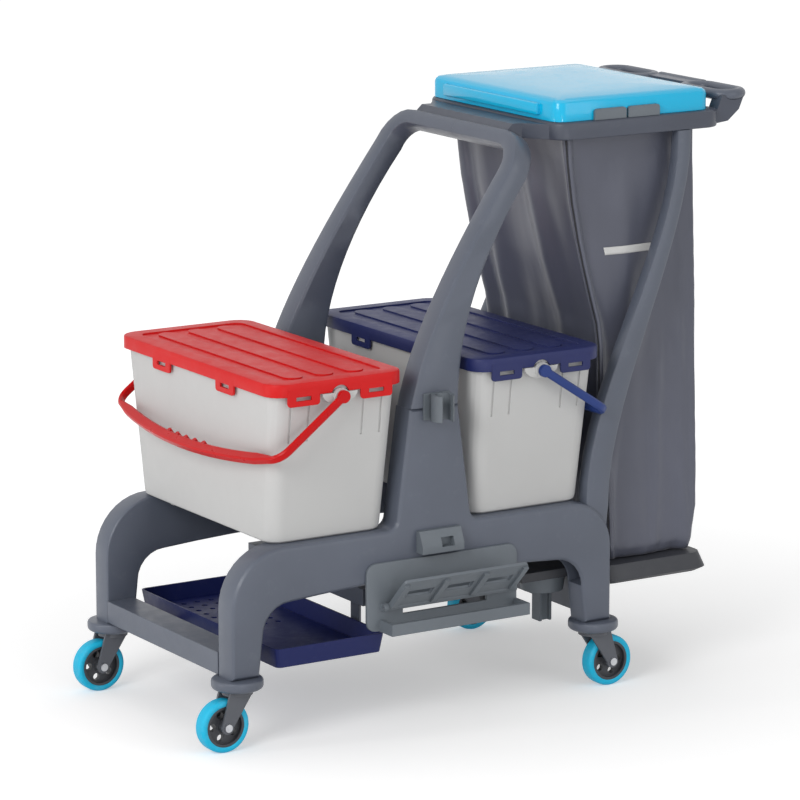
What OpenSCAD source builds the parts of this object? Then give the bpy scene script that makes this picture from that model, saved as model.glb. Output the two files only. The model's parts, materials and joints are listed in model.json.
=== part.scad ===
// Janitor cart: moulded side frames and arches on four swivel casters, two lidded
// buckets, a sliding mop tray, a fold-out mop flap and a waste bag under a hinged lid.
// Millimetres. +X points to the push handle, +Z up, the wheels stand on z = 0.
// Sizes are drawn about the middle of the four casters, then moved so that the
// origin is the middle of the cart's footprint.

/* [Casters] */
// Diameter of the wheels
wheel_d = 80; // [70:1:90]
// Width of the tyres
tyre_w = 24; // [18:1:30]
// Thickness of the tyres
tyre_t = 9; // [6:0.5:12]
// Distance from swivel stem to axle
trail = 26; // [18:1:34]
// Diameter of the axles
axle_d = 8; // [6:0.5:10]
// Diameter of the swivel stems
stem_d = 11; // [9:0.5:14]
// Length of the swivel stems above the crown
stem_l = 52; // [40:1:60]
// Thickness of the fork cheeks
cheek_t = 4; // [3:0.5:6]
// Diameter of the bumper discs
bumper_d = 78; // [64:1:86]
// Thickness of the bumper discs
bumper_t = 16; // [10:1:20]

/* [Side frames] */
// Distance between front and rear swivel stems
wheelbase = 636; // [600:2:680]
// Distance between left and right swivel stems
track = 390; // [370:2:420]
// Thickness of the side frames
frame_t = 44; // [40:1:52]
// Length of a leg's foot along the cart
leg_l = 48; // [44:1:54]
// Height of the top of the rails
rail_z = 303; // [290:1:320]
// Depth of the rails
rail_h = 87; // [76:1:100]
// Radius over the front legs
front_r = 90; // [70:1:100]
// Radius over the rear legs
rear_r = 75; // [60:1:90]
// Radius under the rails
under_r = 46; // [36:1:54]
// Height of the joint between pillar and arch
joint_z = 484; // [460:1:500]
// Length of the pillar at the joint
pillar_l = 87; // [76:1:96]
// Length of the pillar at its foot
pillar_foot = 131; // [116:1:140]
// Middle of the pillar behind the middle of the casters
pillar_x = 13; // [5:1:20]

/* [Arches] */
// Run of the arch to the rear
arch_run = 190; // [170:1:210]
// Rise of the arch above the joint
arch_rise = 342; // [310:1:370]
// Depth of the arch at its top
arch_depth = 37; // [30:1:46]
// Thickness of the arch at its top
arch_t = 35; // [28:1:42]
// How far each arch leans in at its top
arch_lean = 18; // [8:1:26]
// Bend radius at the corners of the arch
arch_bend = 48; // [36:1:60]
// Thickness of the crossbar
bar_t = 26; // [20:1:32]

/* [Bag holder] */
// Width of the rim that carries the bag
rim_w = 380; // [364:1:400]
// Length of the rim
rim_l = 312; // [300:1:330]
// Height of the rim
rim_h = 27; // [22:1:30]
// Width of the rim's side walls
rim_wall = 24; // [20:1:28]
// Length of the apron between crossbar and rim
apron_l = 60; // [48:1:76]
// Height of the lid's side
lid_side = 29; // [24:1:32]
// Rise of the lid's crown above its side
lid_crown = 8; // [6:1:14]
// Wall of the lid
lid_wall = 3; // [2:0.5:4]
// Diameter of the lid's hinge pin
hinge_d = 6; // [4:0.5:8]
// Diameter of the hand grips
grip_d = 17; // [14:0.5:20]
// Length of a hand hole
hole_l = 96; // [84:1:104]
// Width of a hand hole
hole_w = 32; // [28:1:40]

/* [Bag] */
// Thickness of the rear uprights
upright_t = 27; // [22:1:30]
// Length of the bag's base plate behind the rear legs
base_l = 196; // [180:1:204]
// Width of the bag's base plate
base_w = 410; // [396:1:420]
// Height of the bag's base plate
base_z = 190; // [184:1:196]
// Thickness of the bag's base plate
base_t = 30; // [24:1:36]
// Thickness of the bag's vinyl
bag_t = 2.5; // [2:0.5:4]

/* [Buckets] */
// Length of a lid along the cart
lid_l = 230; // [224:1:234]
// Width of a lid across the cart
lid_w = 478; // [460:1:496]
// Height of a bucket's body
bucket_h = 242; // [220:1:250]
// Wall of a bucket
bucket_wall = 3; // [2.5:0.5:4]
// Width of a bucket's bottom
bucket_bottom_w = 404; // [390:1:420]
// Depth of the locating feet below the rails
foot_h = 18; // [10:1:24]
// Reach of a bail from its pivot
bail_r = 142; // [140:1:146]
// Bow of the red bail's grip
bail_bow = 24; // [10:1:30]
// Angle of the hanging red bail below level
bail_angle = 37; // [30:1:37]
// Diameter of the bail pins
bail_pin_d = 8; // [6:0.5:10]

/* [Mop gear] */
// Length of the tray along the cart
tray_l = 190; // [170:1:200]
// Width of the tray across the cart
tray_w = 424; // [400:1:440]
// Height of the tray
tray_h = 30; // [22:1:36]
// Height of the flap
flap_h = 70; // [60:1:74]
// Length of the flap
flap_l = 220; // [200:1:226]
// Angle of the open flap from upright
flap_angle = 45; // [40:1:50]
// Diameter of the flap's pin
flap_pin_d = 5; // [4:0.5:6]
// Diameter of the tool handles that the clip holds
handle_d = 23; // [20:0.5:26]

/* [Hidden] */
$fn = 48;
// Gap between pieces that touch or slide
gap = 0.3;
// Radial gap of a pin that turns in its bore
run_gap = 0.05;
// Overlap that makes a cut clean
cut = 1;

// Caster stack
axle_z = wheel_d / 2;
crown_z = wheel_d + 5;
crown_t = 8;
crown_r = 23;
bumper_z = crown_z + crown_t + 0.5;
leg_z = bumper_z + bumper_t;
hub_w = tyre_w + 2;
hub_side_gap = 1;
cheek_y = hub_w / 2 + hub_side_gap;
cheek_r = axle_d / 2 + 6;
axle_head_r = axle_d / 2 + 2;
axle_head_t = 3;

// Side frame
stem_x = wheelbase / 2;
frame_in = track / 2 - frame_t / 2;
frame_out = track / 2 + frame_t / 2;
leg_over = 20;
leg_out = stem_x + leg_over;
leg_in = leg_out - leg_l;
leg_flare = 7;
under_z = rail_z - rail_h;
under_x = leg_in - leg_flare - under_r;
under_crown = 9;
fillet_r = 16;
frame_round_out = 9;
frame_round_in = 4;
channel_wall = 6;
channel_depth = 20;
socket_h = stem_l - bumper_t + 4;

// Arch: front and rear edges as curves in the side view, [x, z]
joint_front = [pillar_x - pillar_l / 2, joint_z];
joint_rear = [pillar_x + pillar_l / 2, joint_z];
arch_front = [joint_front, joint_front + [22, 0.316 * arch_rise], joint_front + [arch_run, arch_rise]];
arch_slope = [0.872, -0.49];
arch_rear_end = arch_front[2] + arch_depth * arch_slope;
arch_rear = [joint_rear, joint_rear + [0, 0.447 * arch_rise], arch_rear_end];
arch_across = unit(arch_rear_end - arch_front[2]);
arch_up = [-arch_across[1], arch_across[0]];
arch_end = (arch_front[2] + arch_rear_end) / 2;
bar_mid = arch_end + arch_bend * arch_up;
arch_y_top = track / 2 - arch_lean;
arch_straight = 0.12;
bar_front_top = bar_mid - arch_depth / 2 * arch_across + bar_t / 2 * arch_up;
bar_rear_top = bar_mid + arch_depth / 2 * arch_across + bar_t / 2 * arch_up;

// Bag holder
rim_top = bar_front_top[1] + 8;
rim_z = rim_top - rim_h;
rim_x0 = bar_front_top[0] + apron_l;
rim_x1 = rim_x0 + rim_l;
rim_r = 34;
mouth_x0 = rim_x0 + 27;
mouth_x1 = rim_x1 - 27;
mouth_y = rim_w / 2 - rim_wall;
mouth_r = 12;
hinge_x = rim_x1 - 6;
hinge_z = rim_top + 18;
hinge_r = hinge_d / 2 + 4;
barrel_y = 26;
lug_t = 14;
cover_x0 = rim_x0 + 5;
cover_x1 = hinge_x - 15;
cover_y = rim_w / 2 - 10;
cover_z = rim_top + gap;
cover_r = 20;
lip_w = 264;
lip_reach = 7;
cover_top = cover_z + lid_side + lid_crown;
grip_x = rim_x1 + hole_w / 2 + grip_d - 4;
grip_y = 114;
grip_z = rim_top + 19;
grip_half_y = (hole_l + grip_d) / 2;
grip_half_x = (hole_w + grip_d) / 2;
tail_end = grip_x + grip_half_x;
cart_rear = tail_end + grip_d / 2;

// Rear upright: front and rear edges as curves in the side view, [x, z]
upright_x = leg_out - 44;
upright_foot_l = 38;
upright_z = rail_z - 67;
upright_bend_z = rail_z - 13;
upright_top_l = 26;
upright_back = 224;
upright_pull = [190, 170];
upright_top = [rim_x0 + upright_back, rim_z];
upright_front = s_curve([upright_x, upright_bend_z], upright_top, upright_pull[0]);
upright_rear = s_curve([leg_out, upright_bend_z], upright_top + [upright_top_l, 0], upright_pull[1]);

// Base, beams and deck
beam_t = 46;
beam_h = 34;
beam_wall = 5;
beam_z = leg_z + 2;
base_tongue_t = 14;
base_x1 = leg_out + gap + base_l;
tongue_x0 = leg_in - 90;
rear_beam_t = 22;
rear_beam_top = base_z - base_tongue_t;
deck_l = 200;
deck_t = 8;
deck_z = under_z - 10;
deck_flange = 6;
spigot_r = 38;
spigot_h = 28;
spigot_w = 22;
spigot_x = leg_out - rear_beam_t - spigot_r - 7;
spigot_y = base_w / 2 - 83;
stub_h = 50;
stub_wall = 4;
screw_d = 6;
screw_head_r = 6;
screw_head_t = 4;
screw_l = 22;

// Buckets
bucket_seat = rail_z + gap;
bucket_top = bucket_seat + bucket_h;
lid_t = 5;
lid_skirt = 20;
lid_top = bucket_top + gap + lid_t;
lid_skirt_z = lid_top - lid_skirt;
lid_skirt_t = 3;
lid_r = 30;
lip_gap = 0.8;
lip_h = 11;
body_l = lid_l - 12;
body_bottom_l = body_l - 18;
body_w = lid_w - 18;
wall_slope = atan((body_w - bucket_bottom_w) / 2 / (bucket_h - 9));
pivot_z = lid_top - 26;
boss_r = bail_pin_d / 2 + 8;
arm_gap = 5.5;
arm_y = lid_w / 2 + arm_gap;
boss_y = arm_y - 1;
boss_l = boss_y - body_w / 2 + 4;
lug_w = 60;
lug_h = 18;
arm_t = 7;
bail_w = 16;
bail_t = 13;
red_x = pillar_x - pillar_foot / 2 + 2.5 - lid_l / 2;
blue_x = pillar_x + pillar_foot / 2 - 4.5 + lid_l / 2;
tab_w = 54;
tab_drop = 15;
tab_x = 62;
tab_y = 97;
tab_t = 3;
window_w = 26;
window_h = 6;

// Bag: its front is pushed in where the bail before it swings, and it bulges at its foot,
// where it stands on the base. Stations up the bag as [z, front x, rear x, half width].
bag_y = mouth_y - 3;
bag_x0 = mouth_x0 + 3;
bag_x1 = mouth_x1 - 3;
bag_z = base_z + gap;
swing_r = bail_r + bail_w / 2 + 4.5;
bag_low = blue_x + swing_r;
bag_foot = max(bag_low, leg_out + 4);
function bag_dent(h) = blue_x + sqrt(swing_r * swing_r - h * h);
bag_stations = [
    [bag_z, bag_foot + 6, bag_x1 - 10, bag_y + 16],
    [bag_z + 16, bag_foot + 1, bag_x1 - 8, bag_y + 21],
    [bag_z + 68, bag_foot, bag_x1 + 2, bag_y + 18],
    [bag_z + 138, bag_foot, bag_x1 + 6, bag_y + 12],
    [joint_z - 64, bag_low, bag_x1 + 8, bag_y + 5],
    [pivot_z + 6, bag_low, bag_x1 + 8, bag_y],
    [pivot_z + 42, bag_dent(42) + 1, bag_x1 + 8, bag_y],
    [pivot_z + 80, bag_dent(80) + 4, bag_x1 + 7, bag_y],
    [pivot_z + 106, bag_dent(106) + 11, bag_x1 + 6, bag_y],
    [pivot_z + 132, bag_x0 + 22, bag_x1 + 5, bag_y],
    [rim_z - 160, bag_x0 + 14, bag_x1 + 4, bag_y - 1],
    [rim_z - 2, bag_x0 + 1, bag_x1 - 1, bag_y - 1],
    [rim_top - 8, bag_x0, bag_x1, bag_y],
];

// Tray and hangers
strap_t = 4;
strap_w = 24;
strap_y = 110;
tray_wall = 2.5;
tray_floor = 3;
tray_x1 = pillar_x - pillar_foot / 2 - 20;
tray_x0 = tray_x1 - tray_l;
tray_y0 = -tray_w / 2 - 3;
strap_z = leg_z + 3.5;
tray_z = strap_z + strap_t + gap;
strap_x = tray_x1 + 9;
grid_t = 2;
grid_pitch = 24;
grid_hole = 9;

// Mop bracket and flap
bracket_t = 5;
bracket_z0 = tray_z + tray_h + 5;
bracket_x0 = pillar_x - 123;
bracket_y = frame_out + bracket_t;
ledge_h = 18;
ledge_reach = 36;
ledge_t = 6;
flap_t = 5;
flap_axis_z = bracket_z0 + 38;
flap_axis_y = bracket_y + flap_pin_d / 2 + 4.5;
flap_x0 = pillar_x - 91;
bracket_x1 = flap_x0 + flap_l + 16;
flap_hub_r = flap_pin_d / 2 + 3;
lug_l = 8;
catch_z = flap_axis_z + flap_h + 3;
bracket_z1 = catch_z - 6.3;
bracket_r = 16;
catch_h = 34;
catch_l = 74;
catch_t = 18;
clip_r = handle_d / 2 + 6;
clip_base_t = 4;
clip_l = 40;
clip_z = joint_z - 18;
clip_y = frame_out + clip_base_t + clip_r - 1;
clip_mouth = 0.8 * handle_d;

// Middle of the footprint
flap_reach = flap_axis_y + flap_h * sin(flap_angle) + flap_t / 2 * cos(flap_angle);
bail_reach = arm_y + arm_t;
cart_front = stem_x + trail + wheel_d / 2;
mid_x = (cart_rear - cart_front) / 2;
mid_y = (bail_reach - flap_reach) / 2;

// Colours
frame_grey = [0.38, 0.41, 0.45];
gear_grey = [0.40, 0.43, 0.43];
dark_grey = [0.24, 0.25, 0.27];
bucket_grey = [0.75, 0.75, 0.74];
lid_red = [0.86, 0.22, 0.19];
lid_navy = [0.15, 0.17, 0.35];
tray_navy = [0.10, 0.13, 0.32];
sky_blue = [0.02, 0.68, 0.90];
vinyl_grey = [0.36, 0.38, 0.43];
steel = [0.72, 0.73, 0.75];

// Vectors, curves and outlines

function unit(v) = v / norm(v);
function mix(a, b, t) = a + (b - a) * t;
function left_of(v) = [-v[1], v[0]];

// Point of a curve with one control point, and of one with two
function bend(p, t) = mix(mix(p[0], p[1], t), mix(p[1], p[2], t), t);
function sway(p, t) = mix(bend([p[0], p[1], p[2]], t), bend([p[1], p[2], p[3]], t), t);
// Upright curve from a to b that leaves and arrives straight up, with pull k
function s_curve(a, b, k) = [a, a + [0, k], b - [0, k], b];

// Points of an arc in n steps
function arc(c, r, a0, a1, n) =
    [for (i = [0:n]) let (a = mix(a0, a1, i / n)) c + r * [cos(a), sin(a)]];

// Rectangle with rounded corners, counter-clockwise
function rounded(x0, x1, y0, y1, r, n) = concat(
    arc([x1 - r, y1 - r], r, 0, 90, n),
    arc([x0 + r, y1 - r], r, 90, 180, n),
    arc([x0 + r, y0 + r], r, 180, 270, n),
    arc([x1 - r, y0 + r], r, 270, 360, n));

// Counter-clockwise outline moved inwards by d
function inset(p, d) = let (n = len(p)) [for (i = [0:n - 1]) let (
    u = left_of(unit(p[i] - p[(i + n - 1) % n])),
    v = left_of(unit(p[(i + 1) % n] - p[i])),
    m = u + v) p[i] + 2 * d * m / (m * m)];

// Open path moved to its left by d
function shifted(p, d) = let (n = len(p)) [for (i = [0:n - 1]) let (
    a = p[max(i - 1, 0)],
    b = p[min(i + 1, n - 1)]) p[i] + d * left_of(unit(b - a))];

function reversed(p) = [for (i = [len(p) - 1:-1:0]) p[i]];
function at_z(p, z) = [for (q = p) [q[0], q[1], z]];

// Closed skin over rings of equal count, each counter-clockwise seen from the next
module skin(rings) {
    n = len(rings[0]);
    m = len(rings);
    walls = [for (k = [0:m - 2], i = [0:n - 1]) let (
        a = k * n + i,
        b = k * n + (i + 1) % n) each [[a, a + n, b + n], [a, b + n, b]]];
    ends = [[for (i = [0:n - 1]) i], [for (i = [n - 1:-1:0]) (m - 1) * n + i]];
    polyhedron([for (r = rings) each r], concat(walls, ends));
}

// Plate of an outline, t thick, with its low edge rounded by r0 and its high edge by r1
module soft_plate(p, t, r0, r1, steps = 3) {
    low = [for (i = [0:steps]) let (a = 90 * i / steps) [r0 * (1 - sin(a)), r0 * (1 - cos(a))]];
    high = [for (i = [0:steps]) let (a = 90 * i / steps) [r1 * (1 - cos(a)), t - r1 * (1 - sin(a))]];
    skin([for (s = concat(low, high)) at_z(inset(p, s[0]), s[1])]);
}

// Closed bead round an outline, of one section given as [distance inwards, height]
module bead(p, section) {
    n = len(section);
    m = len(p);
    loops = [for (s = section) at_z(inset(p, s[0]), s[1])];
    points = [for (k = [0:m - 1], i = [0:n - 1]) loops[i][k]];
    walls = [for (k = [0:m - 1], i = [0:n - 1]) let (
        a = k * n + i,
        b = k * n + (i + 1) % n,
        c = ((k + 1) % m) * n + i,
        d = ((k + 1) % m) * n + (i + 1) % n) each [[a, c, d], [a, d, b]]];
    polyhedron(points, walls);
}

// Like soft_plate, for an outline with hollows: the plate less a bead along each edge
module soft_frame(p, t, r0, r1, steps = 3) difference() {
    linear_extrude(t) polygon(p);
    bead(p, concat([[-cut, t - r1]],
        [for (i = [0:steps]) let (a = 90 * i / steps) [r1 * (1 - cos(a)), t - r1 * (1 - sin(a))]],
        [[r1, t + cut], [-cut, t + cut]]));
    bead(p, concat([[-cut, -cut], [r0, -cut]],
        [for (i = [0:steps]) let (a = 90 * i / steps) [r0 * (1 - sin(a)), r0 * (1 - cos(a))]],
        [[-cut, r0]]));
}

// Moves the cart so that the middle of its footprint is the origin
module in_cart() translate([-mid_x, -mid_y, 0]) children();
// Stands a plate drawn in x and z on the left side, growing outwards from y
module on_left(y) translate([0, -y, 0]) rotate([90, 0, 0]) children();
module both_sides() {
    children();
    mirror([0, 1, 0]) children();
}
// Stadium along y
module slot(l, w) {
    square([w, l - w], center = true);
    for (s = [-1, 1]) translate([0, s * (l - w) / 2]) circle(d = w);
}

// Side frames

under_path = concat(
    [[-leg_in, leg_z]],
    arc([-under_x, under_z - under_r], under_r, 180, 90, 6),
    [for (i = [1:7]) let (x = mix(-under_x, under_x, i / 8))
        [x, under_z + under_crown * (1 - pow(x / under_x, 2))]],
    arc([under_x, under_z - under_r], under_r, 90, 0, 6),
    [[leg_in, leg_z]]);

foot_front = pillar_x - pillar_foot / 2;
foot_rear = pillar_x + pillar_foot / 2;
frame_outline = concat(
    under_path,
    [[leg_out, leg_z]],
    arc([leg_out - rear_r, rail_z - rear_r], rear_r, 0, 90, 9),
    arc([foot_rear + fillet_r, rail_z + fillet_r], fillet_r, 270, 180, 5),
    [joint_rear, joint_front],
    arc([foot_front - fillet_r, rail_z + fillet_r], fillet_r, 0, -90, 5),
    arc([-leg_out + front_r, rail_z - front_r], front_r, 90, 180, 10),
    [[-leg_out, leg_z]]);

channel_path = [for (p = under_path) if (p[1] > leg_z + socket_h) p];
channel_outline = concat(shifted(channel_path, -cut), reversed(shifted(channel_path, channel_depth)));

dowel_d = 10;
dowel_l = 60;
dowel_x = [pillar_x - 22, pillar_x + 22];

module dowels(extra = 0)
    for (x = dowel_x) translate([x, -track / 2, joint_z - dowel_l / 2 - extra])
        cylinder(d = dowel_d, h = dowel_l + 2 * extra);

module side_frame() difference() {
    on_left(frame_in) soft_frame(frame_outline, frame_t, frame_round_in, frame_round_out);
    on_left(frame_in + channel_wall)
        linear_extrude(frame_t - 2 * channel_wall) polygon(channel_outline);
    for (end = [-1, 1]) translate([end * stem_x, -track / 2, leg_z - cut])
        cylinder(d = stem_d + 2 * run_gap, h = stem_l - bumper_t + cut);
    translate([upright_x - gap, -track / 2 - upright_t / 2 - gap, upright_z])
        cube([leg_l + 40, upright_t + 2 * gap, rail_h]);
    dowels();
    beam_shanks();
    deck_shanks();
}

module side_frame_left() color(frame_grey) in_cart() side_frame();
module side_frame_right() color(frame_grey) in_cart() mirror([0, 1, 0]) side_frame();
module arch_dowels() color(steel) in_cart() both_sides() dowels();

// Arches: a section swept up the pillar, round the corner and along the crossbar

// Rounded section in its own plane: half depth a, half thickness b, corner radius r
function section(a, b, r) = rounded(-a, a, -b, b, r, 2);
// Section placed at point c, with depth along u and thickness along v
function ring_at(c, u, v, a, b, r) = [for (q = section(a, b, r)) c + q[0] * u + q[1] * v];

function side_point(p, y) = [p[0], y, p[1]];
function side_vector(p) = [p[0], 0, p[1]];

arch_round = 8;
function arch_ring(t) = let (
    f = bend(arch_front, t),
    r = bend(arch_rear, t),
    lean = max(0, t - arch_straight) / (1 - arch_straight),
    y = -mix(track / 2, arch_y_top, lean),
    w = mix(frame_t, arch_t, lean))
    ring_at(side_point((f + r) / 2, y), side_vector(unit(r - f)), [0, 1, 0],
        norm(r - f) / 2, w / 2, arch_round);
function corner_ring(a) = let (
    up = side_vector(arch_up),
    c = side_point(arch_end, -arch_y_top) + arch_bend * (sin(a) * up + [0, 1 - cos(a), 0]))
    ring_at(c, side_vector(arch_across), cos(a) * [0, 1, 0] - sin(a) * up,
        arch_depth / 2, mix(arch_t, bar_t, a / 90) / 2, arch_round);
function bar_ring(y) = ring_at(side_point(bar_mid, y), side_vector(arch_across), -side_vector(arch_up),
    arch_depth / 2, bar_t / 2, arch_round);

module arch() difference() {
    skin(concat(
        [for (i = [0:13]) arch_ring(i / 13)],
        [for (i = [1:6]) corner_ring(15 * i)],
        [bar_ring(0)]));
    dowels();
}

module arch_left() color(frame_grey) in_cart() arch();
module arch_right() color(frame_grey) in_cart() mirror([0, 1, 0]) arch();

// Beams between the legs: channels open below, with end plates for the screws

function beam_screw_z(h) = [beam_z + h / 2 - 6, beam_z + h / 2 + 6];

module screw(l) {
    translate([0, 0, -screw_head_t]) cylinder(r = screw_head_r, h = screw_head_t);
    cylinder(d = screw_d, h = l);
}
// Screws from inside a beam, outwards to the left
module to_left(x, y, z) translate([x, -y, z]) rotate([90, 0, 0]) children();
front_screw_x = -leg_out + beam_t / 2;
rear_screw_x = leg_out - rear_beam_t / 2;
module beam_screw_places() {
    for (s = [-1, 1]) to_left(front_screw_x + 12 * s, frame_in - gap - beam_wall, beam_z + beam_h / 2)
        children();
    for (s = [-1, 1]) to_left(rear_screw_x, frame_in - gap - beam_wall, beam_z + 26 + 10 * s)
        children();
}
module beam_shanks() beam_screw_places() cylinder(d = screw_d, h = screw_l);
module beam_screws() color(steel) in_cart() both_sides() beam_screw_places() screw(screw_l);

module beam(l, h) difference() {
    y = frame_in - gap;
    translate([0, -y, 0]) cube([l, 2 * y, h]);
    translate([beam_wall, -y + beam_wall, -cut])
        cube([l - 2 * beam_wall, 2 * (y - beam_wall), h - beam_wall + cut]);
}

module front_beam() color(frame_grey) in_cart() difference() {
    translate([-leg_out, 0, beam_z]) beam(beam_t, beam_h);
    both_sides() beam_shanks();
}
module rear_beam() color(frame_grey) in_cart() difference() {
    translate([leg_out - rear_beam_t, 0, beam_z]) beam(rear_beam_t, rear_beam_top - beam_z);
    both_sides() beam_shanks();
    base_shanks();
}

// Deck between the side frames, below the pillars

deck_screw_z = deck_z + 22;
module deck_screw_places()
    for (s = [-1, 1]) to_left(pillar_x + 36 * s, frame_in - gap - deck_flange, deck_screw_z) children();
module deck_shanks() deck_screw_places() cylinder(d = screw_d, h = screw_l);
module deck_screws() color(steel) in_cart() both_sides() deck_screw_places() screw(screw_l);

module centre_deck() color(frame_grey) in_cart() difference() {
    y = frame_in - gap;
    x0 = pillar_x - deck_l / 2;
    union() {
        translate([x0, -y, deck_z - deck_t]) cube([deck_l, 2 * y, deck_t]);
        translate([x0, -y, deck_z - 26]) cube([deck_t, 2 * y, 26]);
        both_sides() translate([pillar_x - 60, -y, deck_z - deck_t])
            cube([120, deck_flange, deck_t + 34]);
    }
    both_sides() translate([x0 + 26, -y + 26, deck_z - deck_t - cut])
        rotate([0, 0, 90]) linear_extrude(deck_t + 2 * cut) slot(26, 14);
    both_sides() deck_shanks();
}

// Bag base, behind and between the rear legs

base_screw_x = leg_out - rear_beam_t / 2;
module base_screw_places()
    for (y = [-120, -40, 40, 120]) translate([base_screw_x, y, base_z - screw_head_t]) children();
module base_shanks()
    base_screw_places() translate([0, 0, -screw_l]) cylinder(d = screw_d, h = screw_l);
module base_screws() color(steel) in_cart()
    base_screw_places() mirror([0, 0, 1]) screw(screw_l);

module bag_base() color(frame_grey) in_cart() difference() {
    union() {
        translate([0, 0, base_z - base_t]) skin([
            at_z(rounded(leg_out + gap, base_x1 - 14, -base_w / 2 + 8, base_w / 2 - 8, 18, 4), 0),
            at_z(rounded(leg_out + gap, base_x1, -base_w / 2, base_w / 2, 22, 4), 6),
            at_z(rounded(leg_out + gap, base_x1 - 10, -base_w / 2 + 6, base_w / 2 - 6, 20, 4), base_t)]);
        translate([tongue_x0, -frame_in + gap, base_z - base_tongue_t])
            cube([leg_out + 30 - tongue_x0, 2 * (frame_in - gap), base_tongue_t]);
    }
    base_shanks();
    base_screw_places() cylinder(r = screw_head_r, h = screw_head_t + cut);
}

module deck_spigot() color(gear_grey) in_cart() translate([spigot_x, -spigot_y, rear_beam_top]) {
    translate([0, 0, -spigot_h]) cylinder(r1 = spigot_r - 5, r2 = spigot_r, h = spigot_h);
    translate([0, 0, -spigot_h - stub_h]) difference() {
        translate([-spigot_w / 2, -spigot_w / 2, 0]) cube([spigot_w, spigot_w, stub_h + cut]);
        translate([stub_wall - spigot_w / 2, -spigot_w / 2 - cut, -cut])
            cube([spigot_w - 2 * stub_wall, stub_wall + 2 + cut, stub_h - stub_wall]);
    }
}

// Rear uprights, set in the tops of the rear legs and reaching to the rim

upright_round = 6;
function upright_ring(t) = let (
    f = sway(upright_front, t),
    r = sway(upright_rear, t),
    y = -mix(track / 2, rim_w / 2 - rim_wall / 2, t),
    w = mix(upright_t, rim_wall - 1, t))
    ring_at(side_point((f + r) / 2, y), side_vector(unit(r - f)), [0, 1, 0],
        norm(r - f) / 2, w / 2, upright_round);
function upright_foot(z, l) = ring_at([upright_x + l / 2, -track / 2, z], [1, 0, 0], [0, 1, 0],
    l / 2, upright_t / 2, upright_round);

module rear_upright() skin(concat(
    [upright_foot(upright_z, upright_foot_l)],
    [for (i = [0:14]) upright_ring(i / 14)]));

module rear_upright_left() color(frame_grey) in_cart() rear_upright();
module rear_upright_right() color(frame_grey) in_cart() mirror([0, 1, 0]) rear_upright();

// Bag holder: rim, apron over the crossbar, lugs for the lid and tails under the grips

rim_outline = rounded(rim_x0, rim_x1, -rim_w / 2, rim_w / 2, rim_r, 6);
apron_y = arch_y_top - arch_bend;
apron_foot = bar_front_top + 9 * arch_across;

module apron() intersection() {
    rotate([90, 0, 0]) translate([0, 0, -rim_w / 2]) linear_extrude(rim_w)
        polygon([apron_foot, bar_rear_top, [rim_x0 + 30, rim_z], [rim_x0 + 30, rim_top - 4],
            apron_foot + [10, 9]]);
    linear_extrude(rim_top) polygon([
        [bar_front_top[0], -apron_y], [bar_rear_top[0] + 2, -apron_y], [rim_x0 + 12, -rim_w / 2 + 12],
        [rim_x0 + 30, -rim_w / 2 + 6], [rim_x0 + 30, rim_w / 2 - 6], [rim_x0 + 12, rim_w / 2 - 12],
        [bar_rear_top[0] + 2, apron_y], [bar_front_top[0], apron_y]]);
}

module tail() rotate([90, 0, 0]) linear_extrude(rim_wall) polygon([
    [rim_x1 - 20, rim_z + 2], [rim_x1 + 16, rim_z + 6], [grip_x + 8, rim_top - 4],
    [grip_x + 18, grip_z], [grip_x - grip_half_x, grip_z], [rim_x1 - 4, rim_top - 2], [rim_x1 - 20, rim_top - 2]]);

module bag_holder() color(frame_grey) in_cart() difference() {
    union() {
        difference() {
            translate([0, 0, rim_z]) soft_plate(rim_outline, rim_h, 3, 5);
            translate([0, 0, rim_z - cut]) linear_extrude(rim_h + 2 * cut)
                polygon(rounded(mouth_x0, mouth_x1, -mouth_y, mouth_y, mouth_r, 6));
        }
        difference() {
            apron();
            translate([0, 0, rim_z - cut]) linear_extrude(rim_h + 2 * cut)
                polygon(rounded(mouth_x0, mouth_x1, -mouth_y, mouth_y, mouth_r, 6));
        }
        both_sides() translate([0, -grip_y - grip_half_y + rim_wall - 4, 0]) tail();
        both_sides() translate([hinge_x, -barrel_y - gap, 0]) {
            translate([0, 0, hinge_z]) rotate([90, 0, 0]) cylinder(r = hinge_r, h = lug_t);
            translate([-hinge_r, -lug_t, rim_top - 6]) cube([2 * hinge_r, lug_t, hinge_z - rim_top + 6]);
        }
    }
    hinge_line(hinge_d / 2, barrel_y + gap + lug_t);
    both_sides() grip_loop(grip_d + 2 * gap);
}

// Cylinder along the lid's hinge
module hinge_line(r, half) translate([hinge_x, half, hinge_z]) rotate([90, 0, 0]) cylinder(r = r, h = 2 * half);
module lid_hinge_pin() color(steel) in_cart() hinge_line(hinge_d / 2, barrel_y + gap + lug_t);

// Grip loop round a hand hole, of bar diameter d
module grip_loop(d) translate([grip_x, -grip_y, grip_z]) {
    r = grip_half_x;
    s = grip_half_y - r;
    for (end = [-1, 1]) translate([0, end * s, 0])
        rotate([0, 0, end > 0 ? 0 : 180]) rotate_extrude(angle = 180) translate([r, 0]) circle(d = d);
    for (side = [-1, 1]) translate([side * r, s, 0]) rotate([90, 0, 0]) cylinder(d = d, h = 2 * s);
}

module push_handle() color(frame_grey) in_cart() {
    both_sides() grip_loop(grip_d);
    y = grip_y - grip_half_y;
    translate([grip_x + grip_half_x, y, grip_z]) rotate([90, 0, 0]) cylinder(d = grip_d, h = 2 * y);
    translate([grip_x - 4, -y, grip_z - 6]) cube([grip_half_x + 4, 2 * y, 12]);
}

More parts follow.
